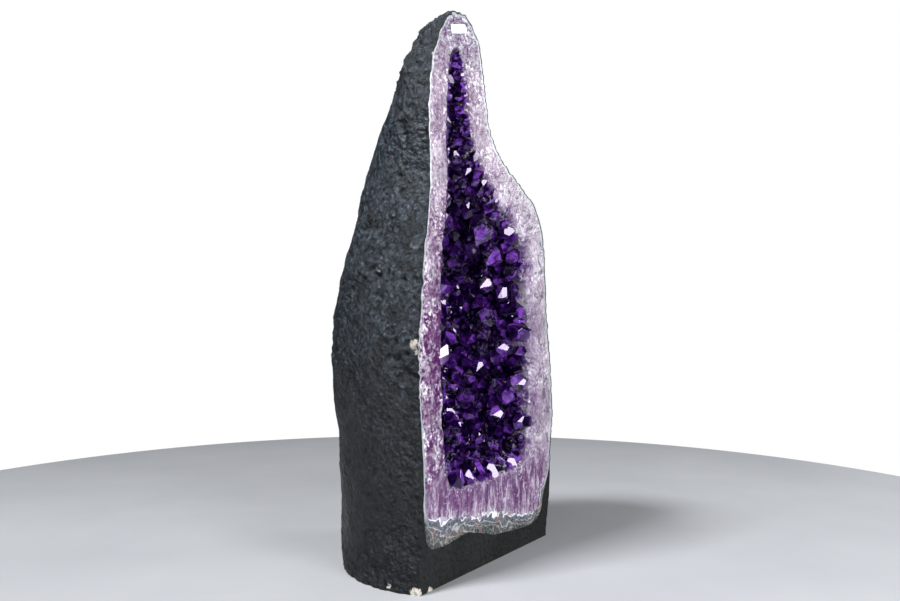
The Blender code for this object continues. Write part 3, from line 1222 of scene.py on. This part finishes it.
@dataclass
class CrystalGrowth:
    """Chooses where the crystals of the bed stand and makes them.

    Attributes:
        bed: The wall that they grow on.
        habit: The crystals to choose from.
        large: Where the large crystals stand.
        front: y of the sawn front.
        seed: Seed of the random draws.
        sizes: Smallest and largest radius and number of tries, for each generation.
        crowd: Least distance between two roots, as a share of their radii.
        tilt: How unevenly they lean.
        sink: How deep a root is in the wall, in radii.
        inset: Columns of the wall at each edge that stay empty.
        kept: A crystal is left out if the saw would cut it below this share of its length.
        whole: Least distance from the root to the front, in radii.
        neck_from: Height above which they get smaller.
        neck_eased: Height over which they do.
        neck_smaller: How much smaller they get there, as a share.
        back_lean: How far they lean back at the front.
        deep_lean: How much less far they do so in the depth.
        deep_eased: Depth over which that changes.
    """

    bed: CavityBed
    habit: CrystalHabit
    large: list[Place]
    front: float
    seed: int = 5
    sizes: tuple[tuple[float, float, int], ...] = ((0.0150, 0.0225, 4000), (0.0075, 0.0135, 22000))
    crowd: float = 0.70
    tilt: float = 0.26
    sink: float = 0.40
    inset: int = 4
    kept: float = 0.55
    whole: float = 0.70
    neck_from: float = 0.55
    neck_eased: float = 0.15
    neck_smaller: float = 0.48
    back_lean: float = 0.25
    deep_lean: float = 0.35
    deep_eased: float = 0.040

    def choose(self) -> list[Place]:
        """Seeded picks on the wall, the big ones first, so close that their roots merge."""
        rng = random.Random(self.seed)
        rows, columns = self.bed.points.shape[:2]
        points, normals = self.bed.points, self.bed.normals
        taken = [(p.root, p.radius) for p in self.large]
        places: list[Place] = []
        for smallest, largest, tries in self.sizes:
            for _ in range(tries):
                i, j = rng.randrange(2, rows - 2), rng.randrange(self.inset, columns - self.inset)
                root, normal = Vector(points[i, j]), Vector(normals[i, j])
                neck = clamped((root.z - self.neck_from) / self.neck_eased)
                radius = rng.uniform(smallest, largest) * (1 - self.neck_smaller * neck)
                if any((root - at).length < self.crowd * (radius + r) for at, r in taken):
                    continue
                lean = Vector((rng.gauss(0, 1), rng.gauss(0, 1), rng.gauss(0, 1))) * self.tilt
                deep = min(1.0, (root.y - self.front) / self.deep_eased)
                axis = (normal + lean + BACK * (self.back_lean - self.deep_lean * deep)).normalized()
                length = radius * CRYSTAL_TALL * rng.uniform(0.92, 1.08)
                cut_deep = (root + axis * length * self.kept).y < self.front
                if cut_deep or root.y - self.front < radius * self.whole:
                    continue
                sunk = root - normal * self.sink * radius
                places.append(Place(sunk, axis, radius, length, rng.uniform(0, math.tau)))
                taken.append((root, radius))
        return places

    def build(self, name: str, places: list[Place], clear: float = 2.0) -> Object:
        """Joins crystals into one piece.

        Args:
            name: The piece's name.
            places: Where they stand.
            clear: The more, the fewer of them are cloudy.

        Returns:
            The piece.
        """
        rng = random.Random(self.seed + len(places))
        whole = bmesh.new()
        heights, tints = [], []
        scratch = bpy.data.meshes.new("scratch")
        for place in places:
            bm, height = self.habit.place(place, rng.randrange(1000), self.front + 0.0001)
            bm.to_mesh(scratch)
            bm.free()
            whole.from_mesh(scratch)
            heights.append(height)
            tints.append(np.full(len(height), rng.random() ** clear))
        bpy.data.meshes.remove(scratch)
        piece = mesh_object(name, whole, smooth_faces=False)
        store(piece, "height", np.concatenate(heights))
        store(piece, "tint", np.concatenate(tints))
        mark_facets(piece, rng, self.front + 0.0002)
        return piece


def measure_crystal(node: Object, wall: Solid) -> Place:
    """Finds a CAD crystal's root, axis and size from its corners.

    Args:
        node: The CAD node.
        wall: The quartz that its root is close to.

    Returns:
        Where it stands.
    """
    bm = bmesh.new()
    bm.from_mesh(node.data)
    bmesh.ops.remove_doubles(bm, verts=bm.verts, dist=0.0001)
    corners = sorted((v.co.copy() for v in bm.verts), key=wall.distance)
    bm.free()
    ring, shoulder, tip = corners[:6], corners[6:12], corners[-1]
    root = sum(ring, Vector()) / 6
    axis = (sum(shoulder, Vector()) / 6 - root).normalized()
    radius = sum((c - root).length for c in ring) / 6
    turned = axis.to_track_quat("Z", "Y").to_matrix().inverted() @ (ring[0] - root)
    return Place(root, axis, radius, (tip - root).dot(axis), math.atan2(turned.y, turned.x))


# ---- The studio ----


@dataclass(frozen=True)
class Softbox:
    """A rectangular studio light that faces a point.

    Attributes:
        name: Its name.
        place: Where it is.
        target: The point that it faces.
        size: Its width and height.
        watts: Its power.
    """

    name: str
    place: tuple[float, float, float]
    target: tuple[float, float, float]
    size: tuple[float, float]
    watts: float

    def build(self) -> None:
        """Adds the light."""
        lamp = bpy.data.lights.new(self.name, "AREA")
        lamp.shape = "RECTANGLE"
        lamp.size, lamp.size_y = self.size
        lamp.energy = self.watts
        light = bpy.data.objects.new(self.name, lamp)
        light.location = self.place
        light.rotation_euler = (Vector(self.target) - Vector(self.place)).to_track_quat("-Z", "Y").to_euler()
        bpy.context.scene.collection.objects.link(light)


@dataclass(frozen=True)
class Studio:
    """Floor, light and camera.

    Attributes:
        camera_place: Where the camera is.
        camera_way: The way that it looks.
        lens: Its focal length in millimetres.
        sensor: Width of its sensor in millimetres.
        backdrop: Brightness of the sky where it is seen.
        ambient: Brightness with which it lights the scene.
        mirrored: Brightness with which it is mirrored.
        floor_radius: Radius of the round floor.
        softboxes: The lights.
    """

    camera_place: tuple[float, float, float] = (-1.3296, -0.9093, 0.443)
    camera_way: tuple[float, float, float] = (0.841, 0.541, 0.0)
    lens: float = 36.0
    sensor: float = 36.0
    backdrop: float = 1.0
    ambient: float = 0.12
    mirrored: float = 0.03
    floor_radius: float = 1.35
    softboxes: tuple[Softbox, ...] = (
        Softbox("key", (-1.3, 0.3, 2.7), (-0.1, 0.0, 0.4), (0.5, 0.5), 140.0),
        Softbox("side", (-2.6, -0.1, 0.9), (-0.1, 0.0, 0.4), (0.7, 1.2), 3.0),
        Softbox("glint_low", (-1.05, -1.81, 0.26), (0.0, 0.0, 0.4), (0.42, 0.42), 8.5),
        Softbox("glint_right", (1.52, -1.25, 1.08), (0.0, 0.0, 0.4), (0.55, 0.55), 15.0),
        Softbox("glint_above", (-0.70, -1.45, 1.78), (0.0, 0.0, 0.4), (0.55, 0.55), 15.0),
        Softbox("glint_front", (0.36, -2.06, 0.30), (0.0, 0.0, 0.4), (0.50, 0.50), 13.0),
        Softbox("glint_middle", (-0.52, -1.95, 0.98), (0.0, 0.0, 0.4), (0.52, 0.52), 14.0),
    )

    def build(self) -> None:
        """Builds the floor, the lights, the sky and the camera."""
        bm = bmesh.new()
        bmesh.ops.create_circle(bm, cap_ends=True, segments=128, radius=self.floor_radius)
        floor = mesh_object("floor", bm)
        floor.data.materials.append(FloorFinish().build())
        for softbox in self.softboxes:
            softbox.build()
        self._sky()
        lens = bpy.data.cameras.new("camera")
        lens.lens = self.lens
        lens.sensor_width = self.sensor
        lens.clip_start = 0.05
        camera = bpy.data.objects.new("camera", lens)
        camera.location = self.camera_place
        camera.rotation_euler = Vector(self.camera_way).to_track_quat("-Z", "Y").to_euler()
        bpy.context.scene.collection.objects.link(camera)
        bpy.context.scene.camera = camera
        bpy.context.scene.view_settings.view_transform = "Standard"

    def _sky(self) -> None:
        """A white backdrop, which lights the scene more softly than it looks."""
        world = bpy.data.worlds.new("studio")
        world.use_nodes = True
        tree = world.node_tree
        shown = tree.nodes["Background"]
        shown.inputs["Color"].default_value = (1.0, 1.0, 1.0, 1.0)
        shown.inputs["Strength"].default_value = self.backdrop
        light = tree.nodes.new("ShaderNodeBackground")
        light.inputs["Color"].default_value = (0.93, 0.96, 1.0, 1.0)
        light.inputs["Strength"].default_value = self.ambient
        dim = tree.nodes.new("ShaderNodeBackground")
        dim.inputs["Strength"].default_value = self.mirrored
        path = tree.nodes.new("ShaderNodeLightPath")
        unseen = tree.nodes.new("ShaderNodeMixShader")
        tree.links.new(path.outputs["Is Glossy Ray"], unseen.inputs[0])
        tree.links.new(light.outputs[0], unseen.inputs[1])
        tree.links.new(dim.outputs[0], unseen.inputs[2])
        both = tree.nodes.new("ShaderNodeMixShader")
        tree.links.new(path.outputs["Is Camera Ray"], both.inputs[0])
        tree.links.new(unseen.outputs[0], both.inputs[1])
        tree.links.new(shown.outputs[0], both.inputs[2])
        tree.links.new(both.outputs[0], tree.nodes["World Output"].inputs["Surface"])
        bpy.context.scene.world = world


# ---- Assembly ----


@dataclass
class Geode:
    """All the visible pieces, in the order they are made.

    Attributes:
        nodes: The CAD nodes.
        bends: Bends of the spine that the front's outlines are measured from.
        shell_rim: Width of the shell's edge above the foot.
        agate_rim: Width from the shell's outside to the quartz above the foot.
        quartz_gap: Least width of the agate.
        lobe: Width of the agate's lobes at the foot.
        lobe_height: Their height.
        front: y of the sawn front.
    """

    nodes: dict[str, Object]
    bends: Bends = (
        (-0.010, 0.205), (-0.010, 0.36), (-0.018, 0.50), (-0.070, 0.60), (-0.106, 0.70), (-0.111, 0.80)
    )
    shell_rim: float = 0.0015
    agate_rim: float = 0.0050
    quartz_gap: float = 0.0016
    lobe: float = 0.021
    lobe_height: float = 0.006
    front: float = field(init=False)

    def __post_init__(self) -> None:
        """Finds the sawn front."""
        self.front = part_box("basalt_shell")[0].y

    def build(self) -> None:
        """Builds every piece and hides the CAD nodes that it stands for."""
        skin = BasaltSkin(self.nodes, self.front)
        skin.shape()
        rays = FrontRays(Spine(self.bends, self.front), skin.edge)
        agate_edge = self._outline(rays, "agate_lining", 0.0012, 0.030, 1.0)
        quartz_edge = self._outline(rays, "quartz_band", 0.0016, 0.024, 2.0)
        above_foot = np.clip((rays.points(agate_edge)[:, 2] - 0.085) / 0.05, 0.0, 1.0)
        agate_edge = self._thin(rays, agate_edge, rays.shell - self.shell_rim, above_foot, 0.0005, 4.0)
        quartz_edge = self._scallop(rays, quartz_edge, 1.0 - above_foot)
        quartz_edge = self._thin(rays, quartz_edge, rays.shell - self.agate_rim, above_foot, 0.0013, 6.0)
        quartz_edge = np.minimum(quartz_edge, agate_edge - self.quartz_gap)
        cavity_edge = self._outline(rays, "amethyst_crust", 0.0040, 0.022, 3.0)
        self.add(skin.finish(rays, agate_edge), "basalt", BasaltFinish(), "basalt_shell")
        agate = FrontBand("agate_bands", rays, agate_edge, quartz_edge, 10, 0.0002).build()
        self._pool(agate)
        self.add(agate, "agate", AgateFinish(), "agate_lining")
        quartz = FrontBand(
            "quartz_face", rays, quartz_edge, cavity_edge, 30, 0.0004, rounding=0.006, depth=0.030
        ).build()
        self._mauve(quartz)
        self.add(quartz, "quartz", QuartzFinish(), "quartz_band")
        self._crystals()
        label = self.nodes["paper_label"]
        label.data.materials.clear()
        label.data.materials.append(PaperFinish().build())

    def _outline(self, rays: FrontRays, node: str, height: float, size: float, seed: float) -> np.ndarray:
        """A CAD node's outer edge at the front, made uneven."""
        return self._uneven(rays, rays.outline(Solid(self.nodes, node), 4.0), height, size, seed)

    def _thin(
        self,
        rays: FrontRays,
        wide: np.ndarray,
        thin: np.ndarray,
        share: np.ndarray,
        height: float,
        seed: float,
    ) -> np.ndarray:
        """Eases an outline from a wide lining at the foot to a thin and wavering one above it."""
        return wide * (1 - share) + self._uneven(rays, thin, height, 0.020, seed) * share

    def _scallop(self, rays: FrontRays, reach: np.ndarray, share: np.ndarray) -> np.ndarray:
        """Gives the agate's upper line round lobes where it pools at the foot."""
        x = rays.points(reach)[:, 0]
        lobes = np.abs(np.sin(math.pi * (x + 0.004 * np.sin(x * 140)) / self.lobe))
        return reach - self.lobe_height * lobes * share

    def _uneven(
        self, rays: FrontRays, reach: np.ndarray, height: float, size: float, seed: float
    ) -> np.ndarray:
        """Adds natural unevenness to an outline."""
        return reach + np.array([height * mottle(Vector(p), size, 3, seed) for p in rays.points(reach)])

    def _pool(self, piece: Object) -> None:
        """Marks where the agate pools at the bottom."""
        heights = np.array([v.co.z for v in piece.data.vertices])
        store(piece, "pool", np.clip((0.125 - heights) / 0.02, 0.0, 1.0))

    def _mauve(self, piece: Object) -> None:
        """Marks how mauve the quartz is: most on the left and along the bottom."""
        mauve, foot = [], []
        for v in piece.data.vertices:
            left = clamped((-0.06 - v.co.x) / 0.06) * clamped((0.80 - v.co.z) / 0.20, 0.45)
            low = clamped((0.185 - v.co.z) / 0.06)
            high = clamped((v.co.z - 0.60) / 0.10)
            mauve.append(max(left, 0.90 * low, 0.85 * high, 0.20))
            foot.append(low)
        store(piece, "mauve", np.array(mauve))
        store(piece, "foot", np.array(foot))

    def _crystals(self) -> None:
        """Builds the wall of the cavity, the bed of crystals and the large crystals."""
        wall = Solid(self.nodes, "quartz_band")
        bed = CavityBed(wall, self.front)
        paint = CrystalFinish().build()
        self.add(bed.build(), "amethyst_crust", paint, "amethyst_crust")
        habit = CrystalHabit(seed=21)
        habit.build()
        names = sorted(n for n in self.nodes if n.startswith("crystal_"))
        large = {name: measure_crystal(self.nodes[name], wall) for name in names}
        growth = CrystalGrowth(bed, habit, list(large.values()), self.front)
        places = growth.choose()
        zones = {"low": (-1.0, 0.32), "middle": (0.32, 0.55), "high": (0.55, 2.0)}
        for zone, (bottom, top) in zones.items():
            here = [p for p in places if bottom <= p.root.z < top]
            piece = growth.build("crystal_bed_" + zone, here)
            self.add(piece, "amethyst_crust", paint)
        for name, place in large.items():
            piece = growth.build("large_" + name, [place], 0.8)
            self.add(piece, "amethyst_crystal", paint, name)

    def add(self, piece: Object, slot: str, finish: object, *replaced: str) -> None:
        """Dresses a piece and ties it to the frame.

        Args:
            piece: The piece.
            slot: The record's material slot, which is not used.
            finish: A finish, or a material that is already made.
            replaced: The CAD nodes that it stands for.
        """
        material = finish if isinstance(finish, bpy.types.Material) else finish.build()
        piece.data.materials.append(material)
        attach(piece, ROOT)
        if replaced:
            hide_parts(*replaced)
        LOG.info("%s: %d faces", piece.name, len(piece.data.polygons))


def main() -> None:
    """Builds the geode in its studio."""
    logging.basicConfig(level=logging.INFO, format="%(name)s %(message)s")
    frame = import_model()
    Studio().build()
    Geode(frame["nodes"]).build()


if __name__ == "__main__":
    main()
